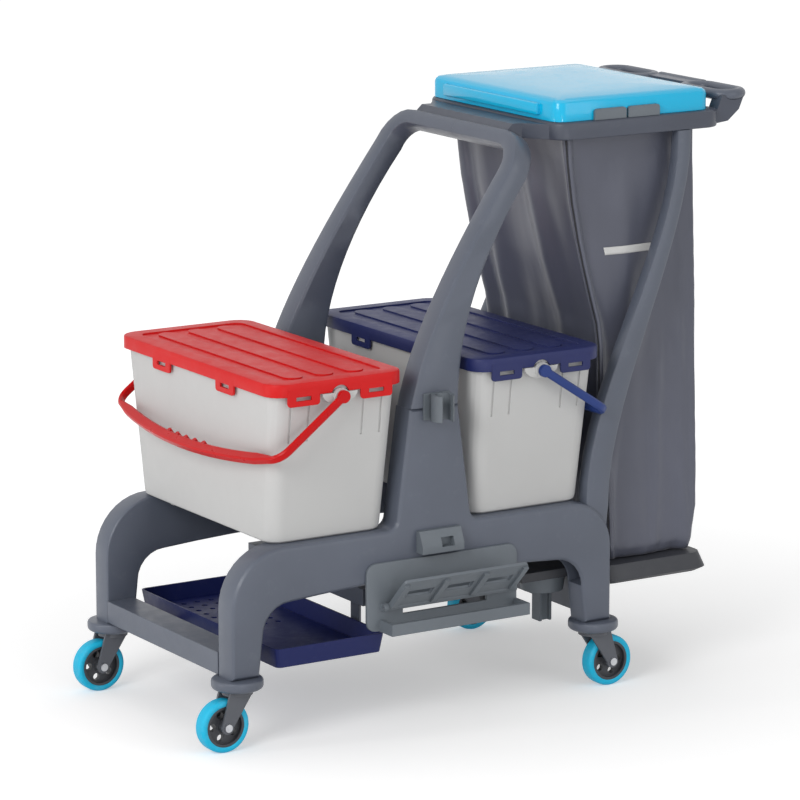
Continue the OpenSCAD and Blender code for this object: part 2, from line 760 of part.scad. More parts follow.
// Bag clips on the rim, beside the lid
clip_tab_l = 58;
module bag_clips() color(gear_grey) in_cart() both_sides()
    for (k = [0, 1]) translate([rim_x0 + 70 + k * (clip_tab_l + 4), -rim_w / 2 + 9, rim_top])
        rotate([90, 0, 0]) linear_extrude(5)
            polygon(concat([[0, 0], [clip_tab_l, 0]], arc([clip_tab_l - 5, 12], 5, 0, 90, 3),
                arc([5, 12], 5, 90, 180, 3)));

// Bag lid: crowned shell with a grip lip in front and a barrel on its hinge

cover_outline = rounded(cover_x0, cover_x1, -cover_y, cover_y, cover_r, 6);
cover_steps = [[0, 0], [0, lid_side - 4], [1.5, lid_side], [6, lid_side + 0.45 * lid_crown],
    [16, lid_side + 0.7 * lid_crown], [60, lid_side + 0.92 * lid_crown], [110, lid_side + lid_crown]];

module bag_lid() color(sky_blue) in_cart() difference() {
    union() {
        difference() {
            translate([0, 0, cover_z])
                skin([for (s = cover_steps) at_z(cover_ring(s[0]), s[1])]);
            translate([0, 0, cover_z - cut]) skin([
                at_z(cover_ring(lid_wall), 0),
                at_z(cover_ring(lid_wall), lid_side - lid_wall + cut),
                at_z(cover_ring(lid_wall + 16), lid_side + 0.7 * lid_crown - lid_wall + cut)]);
        }
        translate([cover_x1 - 4, -barrel_y, hinge_z - 7]) cube([hinge_x - cover_x1 + 4, 2 * barrel_y, 14]);
        translate([cover_x0, 0, cover_z + 7])
            soft_plate(rounded(-lip_reach, lid_wall, -lip_w / 2, lip_w / 2, 3, 2), lid_side - 11, 2, 3, 2);
        hinge_line(hinge_r + 1, barrel_y);
    }
    hinge_line(hinge_d / 2 + run_gap, barrel_y + cut);
}
// Lid outline drawn in by d, with its corners kept round
function cover_ring(d) = rounded(cover_x0 + d, cover_x1 - d, -cover_y + d, cover_y - d,
    max(cover_r - d, 8), 6);

// Waste bag: soft shell, open under the rim

function bag_ring(s, d) = at_z(rounded(s[1] + d, s[2] - d, -s[3] + d, s[3] - d, 10 - d, 3), s[0]);
module waste_bag() color(vinyl_grey) in_cart() difference() {
    skin([for (s = bag_stations) bag_ring(s, 0)]);
    skin([for (i = [0:len(bag_stations) - 1]) let (s = bag_stations[i])
        bag_ring(s + [i == 0 ? bag_t : i == len(bag_stations) - 1 ? cut : 0, 0, 0, 0], bag_t)]);
}

// Tool handle clip on the pillar: an open ring on a base plate
module handle_clip() color(gear_grey) in_cart() translate([pillar_x, 0, clip_z]) difference() {
    union() {
        translate([-22, -frame_out - clip_base_t, 0]) cube([44, clip_base_t, clip_l]);
        translate([0, -clip_y, 0]) cylinder(r = clip_r, h = clip_l);
    }
    translate([0, -clip_y, -cut]) cylinder(d = handle_d, h = clip_l + 2 * cut);
    translate([-clip_mouth / 2, -clip_y - clip_r - cut, -cut]) cube([clip_mouth, clip_r + cut, clip_l + 2 * cut]);
}

// Mop bracket: back plate under the rail, ledge in front of it and lugs for the flap

lug_x = [flap_x0 - gap - lug_l, flap_x0 + flap_l + gap];
module flap_line(r, x, l) translate([x, -flap_axis_y, flap_axis_z]) rotate([0, 90, 0]) cylinder(r = r, h = l);

module mop_bracket() color(gear_grey) in_cart() difference() {
    union() {
        on_left(frame_out) soft_plate(
            rounded(bracket_x0, bracket_x1, bracket_z0, bracket_z1, bracket_r, 4), bracket_t, 0.6, 2, 2);
        translate([bracket_x0 + 22, -bracket_y - ledge_reach, bracket_z0])
            cube([bracket_x1 - bracket_x0 - 22, ledge_t, ledge_h]);
        for (x = [bracket_x0 + 22, bracket_x1 - ledge_t])
            translate([x, -bracket_y - ledge_reach, bracket_z0]) cube([ledge_t, ledge_reach + 2, ledge_h]);
        for (x = lug_x) {
            flap_line(flap_hub_r, x, lug_l);
            translate([x, -flap_axis_y, flap_axis_z - flap_hub_r])
                cube([lug_l, flap_axis_y - bracket_y + 2, 2 * flap_hub_r]);
        }
    }
    flap_line(flap_pin_d / 2, lug_x[0] - cut, lug_x[1] + lug_l - lug_x[0] + 2 * cut);
    translate([pillar_x - 60, -bracket_y - cut, bracket_z0 + ledge_h + 4])
        cube([150, bracket_t + 2 * cut, 12]);
}

module flap_pin() color(steel) in_cart()
    flap_line(flap_pin_d / 2, lug_x[0], lug_x[1] + lug_l - lug_x[0]);

// Flap: panel with three windows between slanting ribs, leaning out from its pin
module mop_flap() color(gear_grey) in_cart() difference() {
    union() {
        translate([flap_x0, -flap_axis_y, flap_axis_z]) rotate([flap_angle - 90, 0, 0])
            translate([0, -flap_h, 0]) flap_panel();
        flap_line(flap_hub_r, flap_x0, flap_l);
    }
    flap_line(flap_pin_d / 2 + run_gap, flap_x0 - cut, flap_l + 2 * cut);
}
// Panel from its free edge at y = 0 to the pin at y = flap_h
module flap_panel() {
    rib = 9;
    bay = (flap_l - 4 * rib) / 3;
    difference() {
        translate([0, 0, -flap_t / 2]) linear_extrude(flap_t) difference() {
            polygon(rounded(0, flap_l, 0, flap_h, 7, 3));
            for (i = [0:2]) translate([rib + i * (bay + rib) + 8, flap_h - 44]) square([bay - 16, 18]);
        }
    }
    for (i = [0:3]) translate([i * (bay + rib), 6, -flap_t / 2 - 4]) cube([rib, flap_h - 12, flap_t / 2 + 4]);
}

module flap_catch() color(gear_grey) in_cart()
    translate([pillar_x - catch_l / 2 + 4, -frame_out, catch_z]) difference() {
        rotate([0, 90, 0]) linear_extrude(catch_l)
            polygon([[0, 0], [0, -catch_t], [-12, -catch_t], [-catch_h, -8], [-catch_h, 0]]);
        translate([catch_l / 2 - 2, -catch_t - cut, 8]) cube([22, catch_t - 5 + cut, 14]);
    }

// Mop tray, its drip grid and the straps that carry it

module mop_tray() color(tray_navy) in_cart() translate([0, 0, tray_z]) difference() {
    skin([
        at_z(rounded(tray_x0 + 5, tray_x1 - 5, tray_y0 + 5, tray_y0 + tray_w - 5, 8, 3), 0),
        at_z(rounded(tray_x0, tray_x1, tray_y0, tray_y0 + tray_w, 10, 3), tray_h)]);
    translate([0, 0, tray_floor]) skin([
        at_z(rounded(tray_x0 + 5 + tray_wall, tray_x1 - 5 - tray_wall,
            tray_y0 + 5 + tray_wall, tray_y0 + tray_w - 5 - tray_wall, 6, 3), 0),
        at_z(rounded(tray_x0 + tray_wall, tray_x1 - tray_wall,
            tray_y0 + tray_wall, tray_y0 + tray_w - tray_wall, 8, 3), tray_h)]);
}

module tray_grid() color(tray_navy) in_cart() translate([0, 0, tray_z + tray_floor]) difference() {
    margin = 9 + tray_wall;
    x0 = tray_x0 + margin;
    y0 = tray_y0 + margin;
    l = tray_l - 2 * margin;
    w = tray_w - 2 * margin;
    translate([x0, y0, 0]) cube([l, w, grid_t]);
    for (i = [1:floor(l / grid_pitch) - 1], j = [1:floor(w / 2 / grid_pitch)])
        translate([x0 + i * grid_pitch, y0 + w - j * grid_pitch, -cut])
            cylinder(d = grid_hole, h = grid_t + 2 * cut);
}

module tray_hanger(y) translate([0, y - strap_w / 2, 0]) {
    x0 = -leg_out + beam_t;
    translate([x0, 0, strap_z]) cube([strap_x + strap_t - x0, strap_w, strap_t]);
    translate([strap_x, 0, strap_z]) cube([strap_t, strap_w, deck_z - deck_t - strap_z]);
}
module tray_hanger_left() color(frame_grey) in_cart() tray_hanger(-strap_y);
module tray_hanger_right() color(frame_grey) in_cart() tray_hanger(strap_y);

// Buckets, drawn about their own middle

function bucket_ring(l, w, r, z) = at_z(rounded(-l / 2, l / 2, -w / 2, w / 2, r, 5), z);
module at_ends() {
    children();
    rotate([0, 0, 180]) children();
}

module bucket() difference() {
    union() {
        difference() {
            union() {
                skin([
                    bucket_ring(body_bottom_l - 12, bucket_bottom_w - 12, 20, bucket_seat),
                    bucket_ring(body_bottom_l - 3, bucket_bottom_w - 3, 25, bucket_seat + 3),
                    bucket_ring(body_bottom_l, bucket_bottom_w, 26, bucket_seat + 9),
                    bucket_ring(body_l, body_w, 26, bucket_top)]);
                skin([for (z = [bucket_top - lip_h, bucket_top])
                    bucket_ring(lid_l - 2 * lid_skirt_t - 2 * lip_gap, lid_w - 2 * lid_skirt_t - 2 * lip_gap,
                        lid_r - lid_skirt_t - lip_gap, z)]);
            }
            skin([
                bucket_ring(body_bottom_l - 2 * bucket_wall - 8, bucket_bottom_w - 2 * bucket_wall - 8, 19,
                    bucket_seat + bucket_wall),
                bucket_ring(body_bottom_l - 2 * bucket_wall, bucket_bottom_w - 2 * bucket_wall, 23,
                    bucket_seat + bucket_wall + 6),
                bucket_ring(body_l - 2 * bucket_wall, body_w - 2 * bucket_wall, 23, bucket_top + cut)]);
        }
        at_ends() translate([-60, -frame_in + 2 * gap, bucket_seat - foot_h])
            cube([120, 10, foot_h + 2]);
        at_ends() pivot_line(boss_r, boss_y, boss_l);
        at_ends() translate([0, -lid_w / 2 + 0.8, lid_skirt_z - 0.8]) rotate([-90, 0, 0])
            linear_extrude(boss_l - arm_gap)
                polygon([for (a = [0:15:180]) [lug_w / 2 * cos(a), lug_h * sin(a)]]);
    }
    at_ends() pivot_line(bail_pin_d / 2 + run_gap, boss_y + cut, arm_gap + cut);
    at_ends() for (s = [-1, 1], d = [-17, 14]) translate([s * tab_x + d, -body_w / 2, bucket_top])
        rotate([wall_slope, 0, 0]) translate([0, -8, -88]) cube([3, 9.6, 62]);
}
// Cylinder along a bail's pivot, from y inwards by l
module pivot_line(r, y, l) translate([0, -y, pivot_z]) rotate([-90, 0, 0]) cylinder(r = r, h = l);

// Clip tab on a lid's edge, drawn in the plane of the edge
module lid_tab() rotate([90, 0, 0]) linear_extrude(tab_t) difference() {
    polygon(concat([[tab_w / 2, 10], [-tab_w / 2, 10]], arc([5 - tab_w / 2, 5 - tab_drop], 5, 180, 270, 3),
        arc([tab_w / 2 - 5, 5 - tab_drop], 5, 270, 360, 3)));
    translate([-window_w / 2, -7]) square([window_w, window_h]);
}

module bucket_lid() {
    border = 25;
    bar_w = 31;
    bar_pitch = 52;
    inner_l = lid_l - 2 * lid_skirt_t;
    inner_w = lid_w - 2 * lid_skirt_t;
    difference() {
        union() {
            translate([0, 0, lid_skirt_z])
                soft_plate(rounded(-lid_l / 2, lid_l / 2, -lid_w / 2, lid_w / 2, lid_r, 5), lid_skirt, 0.5, 3, 2);
        }
        translate([0, 0, lid_skirt_z - cut]) linear_extrude(lid_skirt - lid_t + cut)
            polygon(rounded(-inner_l / 2, inner_l / 2, -inner_w / 2, inner_w / 2,
                lid_r - lid_skirt_t, 5));
        translate([0, 0, lid_top - 2.5]) linear_extrude(2.5 + cut) difference() {
            polygon(rounded(border - lid_l / 2, lid_l / 2 - border, border - lid_w / 2, lid_w / 2 - border, 14, 4));
            for (i = [-1:1]) translate([i * bar_pitch, 0]) slot(lid_w - 2 * border - 22, bar_w);
        }
        at_ends() pivot_line(boss_r + 4, lid_w / 2 + cut, 8 + cut);
        at_ends() translate([-boss_r - 4, -lid_w / 2 - cut, lid_skirt_z - cut])
            cube([2 * boss_r + 8, 8 + cut, pivot_z - lid_skirt_z + cut]);
    }
    at_ends() for (s = [-1, 1]) translate([s * tab_x, -lid_w / 2 + tab_t - 0.1, lid_skirt_z])
        lid_tab();
    at_ends() rotate([0, 0, 90]) for (s = [-1, 1]) translate([s * tab_y, -lid_l / 2 + tab_t - 0.1, lid_skirt_z])
        lid_tab();
}

// Bail: an arm down from each pivot, and a bowed grip between them, in one plane
bail_corner = 25;
bail_y = arm_y + arm_t / 2;
function bail_path(bow) = let (
    y = bail_y,
    run = [for (i = [1:15]) let (v = mix(-1, 1, i / 16))
        [v * (y - bail_corner), bail_r + bow * (1 - v * v)]])
    concat(
        [[-y, 0], [-y, 40], [-y, 90]],
        arc([-y + bail_corner, bail_r - bail_corner], bail_corner, 180, 90, 6),
        run,
        arc([y - bail_corner, bail_r - bail_corner], bail_corner, 90, 0, 6),
        [[y, 90], [y, 40], [y, 0]]);
// Section of the bail: the arms are flat and pass the lid, and the grip widens between the corners
function bail_half(p) = mix(arm_t / 2, bail_w / 2, min(1, max(0, (bail_y - bail_corner / 2 - abs(p[0])) / 40)));
module bail(dir, bow, angle) {
    path = bail_path(bow);
    n = len(path);
    grip = 132;
    translate([0, 0, pivot_z]) rotate([0, dir > 0 ? angle : 180 - angle, 0]) {
        skin([for (i = [0:n - 1]) let (
            along = unit(path[min(i + 1, n - 1)] - path[max(i - 1, 0)]),
            side = left_of(along),
            b = bail_half(path[i]))
            [for (q = rounded(-b, b, -bail_t / 2, bail_t / 2, 2.5, 1))
                [path[i][1] + q[0] * side[1], path[i][0] + q[0] * side[0], -q[1]]]]);
        for (i = [0:4]) let (y = mix(-0.4, 0.4, i / 4) * grip, v = y / (bail_y - bail_corner))
            translate([bail_r + bow * (1 - v * v) - bail_w / 2, y, 0])
                cylinder(r = 4.5, h = bail_t - 4, center = true);
    }
    at_ends() {
        pivot_line(bail_t / 2 + 3, arm_y + arm_t, arm_t);
        pivot_line(bail_pin_d / 2, arm_y + arm_t / 2, arm_t / 2 + arm_gap - 0.7);
    }
}

module red_bucket() color(bucket_grey) in_cart() translate([red_x, 0, 0]) bucket();
module red_lid() color(lid_red) in_cart() translate([red_x, 0, 0]) bucket_lid();
module red_bail() color(lid_red) in_cart() translate([red_x, 0, 0]) bail(-1, bail_bow, bail_angle);
module blue_bucket() color(bucket_grey) in_cart() translate([blue_x, 0, 0]) bucket();
module blue_lid() color(lid_navy) in_cart() translate([blue_x, 0, 0]) bucket_lid();
module blue_bail() color(lid_navy) in_cart() translate([blue_x, 0, 0]) bail(1, 0, bail_angle - 4);

// Casters, drawn with the trail along +x

module at_caster(end, side) in_cart() translate([end * stem_x, side * track / 2, 0])
    rotate([0, 0, end < 0 ? 180 : 0]) children();
module axle_line(r, y, l) translate([trail, y, axle_z]) rotate([-90, 0, 0]) cylinder(r = r, h = l);

module fork() difference() {
    union() {
        translate([0, 0, crown_z]) cylinder(r = crown_r, h = crown_t);
        cylinder_stem();
        for (s = [-1, 1]) translate([0, s > 0 ? cheek_y + cheek_t : -cheek_y, 0])
            rotate([90, 0, 0]) linear_extrude(cheek_t) {
                translate([trail, axle_z]) circle(r = cheek_r);
                polygon([[trail - cheek_r, axle_z], [trail + cheek_r, axle_z],
                    [crown_r - 2, crown_z + crown_t], [4 - crown_r, crown_z + crown_t]]);
            }
    }
    axle_line(axle_d / 2, -cheek_y - cheek_t - cut, 2 * (cheek_y + cheek_t + cut));
}
module cylinder_stem() translate([0, 0, crown_z + crown_t - cut]) cylinder(d = stem_d, h = stem_l + cut);

module axle() {
    y = cheek_y + cheek_t;
    axle_line(axle_d / 2, -y, 2 * y);
    axle_line(axle_head_r, -y - axle_head_t, axle_head_t);
    axle_line(axle_head_r, y, axle_head_t);
}

rim_r_out = wheel_d / 2 - tyre_t;
module hub() difference() {
    union() {
        axle_line(rim_r_out, -tyre_w / 2 + 1, tyre_w - 2);
        axle_line(axle_d / 2 + 6, -hub_w / 2, hub_w);
    }
    for (s = [-1, 1]) difference() {
        axle_line(rim_r_out - 4, s > 0 ? 4 : -tyre_w / 2, tyre_w / 2 - 4);
        axle_line(axle_d / 2 + 6, -hub_w, 2 * hub_w);
    }
    axle_line(axle_d / 2 + run_gap, -hub_w, 2 * hub_w);
    for (i = [0:4]) translate([trail, 0, axle_z]) rotate([0, 72 * i, 0])
        translate([(rim_r_out - 4 + axle_d / 2 + 6) / 2, -tyre_w, 0]) rotate([-90, 0, 0])
            cylinder(r = 5.5, h = 2 * tyre_w);
}

module tyre() translate([trail, 0, axle_z]) rotate([90, 0, 0]) rotate_extrude() polygon(concat(
    [[rim_r_out, -tyre_w / 2 + 1], [rim_r_out + 2, -tyre_w / 2]],
    arc([wheel_d / 2 - 5, 5 - tyre_w / 2], 5, -90, 0, 4),
    arc([wheel_d / 2 - 5, tyre_w / 2 - 5], 5, 0, 90, 4),
    [[rim_r_out + 2, tyre_w / 2], [rim_r_out, tyre_w / 2 - 1]]));

module bumper() translate([0, 0, bumper_z]) difference() {
    rotate_extrude() polygon(concat(
        [[0, 0]], arc([bumper_d / 2 - 6, 6], 6, -90, 0, 4), [[bumper_d / 2, bumper_t - 7]],
        arc([bumper_d / 2 - 4, bumper_t - 4], 4, 0, 90, 3), [[0, bumper_t]]));
    translate([0, 0, -cut]) cylinder(d = stem_d + 2 * run_gap, h = bumper_t + 2 * cut);
}

module front_left_fork() color(dark_grey) at_caster(-1, -1) fork();
module front_left_axle() color(steel) at_caster(-1, -1) axle();
module front_left_hub() color(dark_grey) at_caster(-1, -1) hub();
module front_left_tyre() color(sky_blue) at_caster(-1, -1) tyre();
module front_left_bumper() color(frame_grey) at_caster(-1, -1) bumper();
module front_right_fork() color(dark_grey) at_caster(-1, 1) fork();
module front_right_axle() color(steel) at_caster(-1, 1) axle();
module front_right_hub() color(dark_grey) at_caster(-1, 1) hub();
module front_right_tyre() color(sky_blue) at_caster(-1, 1) tyre();
module front_right_bumper() color(frame_grey) at_caster(-1, 1) bumper();
module rear_left_fork() color(dark_grey) at_caster(1, -1) fork();
module rear_left_axle() color(steel) at_caster(1, -1) axle();
module rear_left_hub() color(dark_grey) at_caster(1, -1) hub();
module rear_left_tyre() color(sky_blue) at_caster(1, -1) tyre();
module rear_left_bumper() color(frame_grey) at_caster(1, -1) bumper();
module rear_right_fork() color(dark_grey) at_caster(1, 1) fork();
module rear_right_axle() color(steel) at_caster(1, 1) axle();
module rear_right_hub() color(dark_grey) at_caster(1, 1) hub();
module rear_right_tyre() color(sky_blue) at_caster(1, 1) tyre();
module rear_right_bumper() color(frame_grey) at_caster(1, 1) bumper();

side_frame_left();
side_frame_right();
arch_left();
arch_right();
front_beam();
rear_beam();
centre_deck();
bag_base();
rear_upright_left();
rear_upright_right();
bag_holder();
push_handle();
bag_clips();
bag_lid();
lid_hinge_pin();
waste_bag();
handle_clip();
mop_bracket();
flap_catch();
mop_flap();
flap_pin();
deck_spigot();
mop_tray();
tray_grid();
tray_hanger_left();
tray_hanger_right();
red_bucket();
red_lid();
red_bail();
blue_bucket();
blue_lid();
blue_bail();
beam_screws();
deck_screws();
base_screws();
arch_dowels();
front_left_fork();
front_left_axle();
front_left_hub();
front_left_tyre();
front_left_bumper();
front_right_fork();
front_right_axle();
front_right_hub();
front_right_tyre();
front_right_bumper();
rear_left_fork();
rear_left_axle();
rear_left_hub();
rear_left_tyre();
rear_left_bumper();
rear_right_fork();
rear_right_axle();
rear_right_hub();
rear_right_tyre();
rear_right_bumper();
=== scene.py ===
"""Looks of the janitor cart: finishes, the vinyl waste bag, studio light and camera.

Metres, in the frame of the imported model. Places on the cart are given in millimetres
from the point on the floor midway between the four casters, as in the part's source.
"""

import json
import math

import bpy
import numpy as np
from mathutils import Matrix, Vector, noise


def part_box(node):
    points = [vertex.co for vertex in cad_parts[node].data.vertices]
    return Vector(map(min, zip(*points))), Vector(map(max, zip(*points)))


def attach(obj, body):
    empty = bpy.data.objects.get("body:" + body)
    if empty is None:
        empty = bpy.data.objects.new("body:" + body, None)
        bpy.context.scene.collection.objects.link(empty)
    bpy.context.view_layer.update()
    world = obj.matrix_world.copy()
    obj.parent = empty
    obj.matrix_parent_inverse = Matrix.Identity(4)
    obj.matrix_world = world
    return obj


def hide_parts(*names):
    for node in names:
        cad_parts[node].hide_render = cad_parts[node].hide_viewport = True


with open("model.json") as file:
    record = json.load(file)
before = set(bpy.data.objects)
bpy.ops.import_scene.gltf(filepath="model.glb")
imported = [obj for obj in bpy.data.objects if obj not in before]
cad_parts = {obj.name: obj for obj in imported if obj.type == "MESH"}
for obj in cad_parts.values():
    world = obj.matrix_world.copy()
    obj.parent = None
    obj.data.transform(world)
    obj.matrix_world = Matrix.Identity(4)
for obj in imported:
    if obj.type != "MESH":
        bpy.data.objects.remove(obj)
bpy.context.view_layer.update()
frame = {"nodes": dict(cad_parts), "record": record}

CORNERS = ("front_left", "front_right", "rear_left", "rear_right")


def caster_middle():
    """The point on the floor midway between the four bumper discs."""
    corners = [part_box(f"{c}_bumper") for c in CORNERS]
    middle = sum((low + high for low, high in corners), Vector()) / (2 * len(corners))
    return Vector((middle.x, middle.y, 0))


MIDDLE = caster_middle()


def at(x, y, z):
    """A place in millimetres from the middle of the casters, in the row frame."""
    return MIDDLE + Vector((x, y, z)) / 1000


# Node trees


class Tree:
    """A node tree, with short ways to add and join nodes."""

    def __init__(self, tree):
        self.tree = tree
        self.place = 0

    def add(self, kind, **values):
        """A new node. Values that are sockets are linked, the others are set."""
        node = self.tree.nodes.new(kind)
        node.location = (self.place, 0)
        self.place += 200
        for key, value in values.items():
            if hasattr(node, key):
                setattr(node, key, value)
            else:
                name = key.replace("_", " ")
                self.feed(next(s for s in node.inputs if s.name == name and s.enabled), value)
        return node

    def feed(self, socket, value):
        """Links a socket to an input, or sets the input to a value."""
        if isinstance(value, bpy.types.NodeSocket):
            self.tree.links.new(value, socket)
        else:
            socket.default_value = value

    def noise(self, coords, scale, detail=3.0, rough=0.55):
        """Noise of that many waves to the metre."""
        node = self.add("ShaderNodeTexNoise", Vector=coords, Scale=scale, Detail=detail, Roughness=rough)
        return node.outputs["Fac"]

    def remap(self, value, low, high, start=0.3, stop=0.7):
        """Low where the value is at start or below, high where it is at stop or above."""
        node = self.add("ShaderNodeMapRange", Value=value)
        for name, number in zip(("From Min", "From Max", "To Min", "To Max"), (start, stop, low, high)):
            node.inputs[name].default_value = number
        return node.outputs["Result"]

    def mix(self, fac, a, b, mode="MIX"):
        node = self.add("ShaderNodeMix", data_type="RGBA", blend_type=mode, Factor=fac, A=a, B=b)
        return node.outputs[2]

    def maths(self, operation, a, b):
        node = self.add("ShaderNodeMath", operation=operation)
        for socket, value in zip(node.inputs, (a, b)):
            self.feed(socket, value)
        return node.outputs[0]

    def stretched(self, coords, scale):
        """Coordinates scaled along each axis."""
        node = self.add("ShaderNodeMapping", Vector=coords)
        node.inputs["Scale"].default_value = scale
        return node.outputs[0]


def srgb(red, green, blue):
    """Linear colour of an sRGB colour given in 0 to 255."""
    def linear(c):
        c /= 255
        return c / 12.92 if c <= 0.04045 else ((c + 0.055) / 1.055) ** 2.4
    return (linear(red), linear(green), linear(blue), 1.0)


# Materials

# Fine relief, in waves to the metre
PLASTIC_GRAIN = 900
RUBBER_PORES = 1300
GLASS_BEADS = 700
BRUSH_LINES = 260
WEAVE_ACROSS, WEAVE_ALONG = 420, 300

DUST = (0.5, 0.55, 0.58, 1)
ZINC_BRIGHT, ZINC_STAINED = srgb(205, 207, 210), srgb(176, 178, 184)
BEAD_GREY = srgb(150, 150, 152)


def new_material(name):
    """An empty material, its tree, and the coordinates of the object that has it."""
    material = bpy.data.materials.new(name)
    material.use_nodes = True
    material.node_tree.nodes.clear()
    tree = Tree(material.node_tree)
    return material, tree, tree.add("ShaderNodeTexCoord").outputs["Object"]


def moulded(name, colour, rough=0.5, depth=0.00008, mottle=0.07, scuff=0.12, edge=0.0012,
            specular=0.5):
    """Moulded plastic: fine grain, slight mottling, paler scuffs and softened edges."""
    material, t, coords = new_material(name)
    cloudy = t.noise(coords, 7, 4)
    worn = t.noise(coords, 46, 6, 0.7)
    shade = t.remap(cloudy, 1 - mottle, 1 + mottle)
    tinted = t.mix(1.0, colour, shade, "MULTIPLY")
    pale = tuple(min(1, 0.55 * c + 0.22) for c in colour[:3]) + (1,)
    tinted = t.mix(t.remap(worn, 0, scuff, 0.58, 0.8), tinted, pale)
    rounded = t.add("ShaderNodeBevel", samples=4, Radius=edge).outputs[0]
    bump = t.add("ShaderNodeBump", Strength=0.5, Distance=depth,
                 Height=t.noise(coords, PLASTIC_GRAIN, 2), Normal=rounded)
    shader = t.add("ShaderNodeBsdfPrincipled", Base_Color=tinted, Normal=bump.outputs[0],
                   Roughness=t.remap(worn, rough - 0.06, rough + 0.1))
    shader.inputs["Specular IOR Level"].default_value = specular
    t.add("ShaderNodeOutputMaterial", Surface=shader.outputs[0])
    return material


def rubber(name, colour):
    """Tyre rubber: matt, with fine pores and dust."""
    material, t, coords = new_material(name)
    dust = t.noise(coords, 60, 6, 0.7)
    tinted = t.mix(t.remap(dust, 0, 0.18, 0.5, 0.8), colour, DUST)
    bump = t.add("ShaderNodeBump", Strength=0.5, Distance=0.00015,
                 Height=t.noise(coords, RUBBER_PORES, 2))
    shader = t.add("ShaderNodeBsdfPrincipled", Base_Color=tinted, Normal=bump.outputs[0],
                   Roughness=t.remap(dust, 0.45, 0.65))
    t.add("ShaderNodeOutputMaterial", Surface=shader.outputs[0])
    return material


def zinc(name):
    """Plated steel: brushed along one way, with slight stains."""
    material, t, coords = new_material(name)
    lines = t.noise(t.stretched(coords, (1, 1, 14)), BRUSH_LINES, 3)
    stain = t.noise(coords, 35, 4)
    tinted = t.mix(t.remap(stain, 0, 1), ZINC_BRIGHT, ZINC_STAINED)
    bump = t.add("ShaderNodeBump", Strength=0.3, Distance=0.00005, Height=lines)
    shader = t.add("ShaderNodeBsdfPrincipled", Base_Color=tinted, Normal=bump.outputs[0],
                   Roughness=t.remap(lines, 0.28, 0.42))
    shader.inputs["Metallic"].default_value = 1.0
    t.add("ShaderNodeOutputMaterial", Surface=shader.outputs[0])
    return material


def vinyl(name, colour):
    """Coated cloth: a fine weave under a soft sheen, with slight upright creases."""
    material, t, coords = new_material(name)
    cloudy = t.noise(coords, 5, 4)
    tinted = t.mix(1.0, colour, t.remap(cloudy, 0.9, 1.1), "MULTIPLY")
    across = t.add("ShaderNodeTexWave", wave_type="BANDS", bands_direction="Z", Vector=coords,
                   Scale=WEAVE_ACROSS, Distortion=1.2).outputs["Fac"]
    along = t.add("ShaderNodeTexWave", wave_type="BANDS", bands_direction="DIAGONAL", Vector=coords,
                  Scale=WEAVE_ALONG, Distortion=1.2).outputs["Fac"]
    weave = t.add("ShaderNodeBump", Strength=0.25, Distance=0.0001,
                  Height=t.maths("ADD", across, along))
    crease = t.noise(t.stretched(coords, (1, 1, 0.3)), 17, 1.5, 0.5)
    creased = t.add("ShaderNodeBump", Strength=0.5, Distance=0.006, Height=crease,
                    Normal=weave.outputs[0])
    shader = t.add("ShaderNodeBsdfPrincipled", Base_Color=tinted, Normal=creased.outputs[0],
                   Roughness=t.remap(cloudy, 0.3, 0.42))
    shader.inputs["Sheen Weight"].default_value = 0.15
    t.add("ShaderNodeOutputMaterial", Surface=shader.outputs[0])
    return material


def beaded(name, colour):
    """Reflective tape: pale, with a fine grid of glass beads."""
    material, t, coords = new_material(name)
    cells = t.add("ShaderNodeTexVoronoi", Vector=coords, Scale=GLASS_BEADS).outputs["Distance"]
    tinted = t.mix(t.remap(cells, 0, 0.25, 0.1, 0.6), colour, BEAD_GREY)
    bump = t.add("ShaderNodeBump", Strength=0.3, Distance=0.0001, Height=cells)
    shader = t.add("ShaderNodeBsdfPrincipled", Base_Color=tinted, Normal=bump.outputs[0],
                   Roughness=t.remap(cells, 0.25, 0.4))
    t.add("ShaderNodeOutputMaterial", Surface=shader.outputs[0])
    return material


FINISHES = {
    "frame_plastic": moulded("frame_plastic", srgb(89, 95, 108), rough=0.36, edge=0.002),
    "gear_plastic": moulded("gear_plastic", srgb(104, 111, 118), rough=0.5),
    "caster_plastic": moulded("caster_plastic", srgb(88, 91, 98), rough=0.42),
    "bucket_plastic": moulded("bucket_plastic", srgb(198, 198, 197), rough=0.5, mottle=0.02,
                              scuff=0.08),
    "red_plastic": moulded("red_plastic", srgb(208, 14, 16), rough=0.44, mottle=0.04, scuff=0.06,
                           specular=0.3),
    "navy_plastic": moulded("navy_plastic", srgb(30, 38, 90), rough=0.46, mottle=0.06, scuff=0.08,
                            specular=0.35),
    "tray_plastic": moulded("tray_plastic", srgb(20, 30, 86), rough=0.44, mottle=0.06, scuff=0.08,
                            specular=0.3),
    "cyan_plastic": moulded("cyan_plastic", srgb(0, 190, 236), rough=0.12, depth=0.00001,
                            mottle=0.02, scuff=0.0, specular=0.45),
    "cyan_rubber": rubber("cyan_rubber", srgb(0, 186, 226)),
    "vinyl": vinyl("vinyl", srgb(83, 86, 100)),
    "zinc_steel": zinc("zinc_steel"),
}

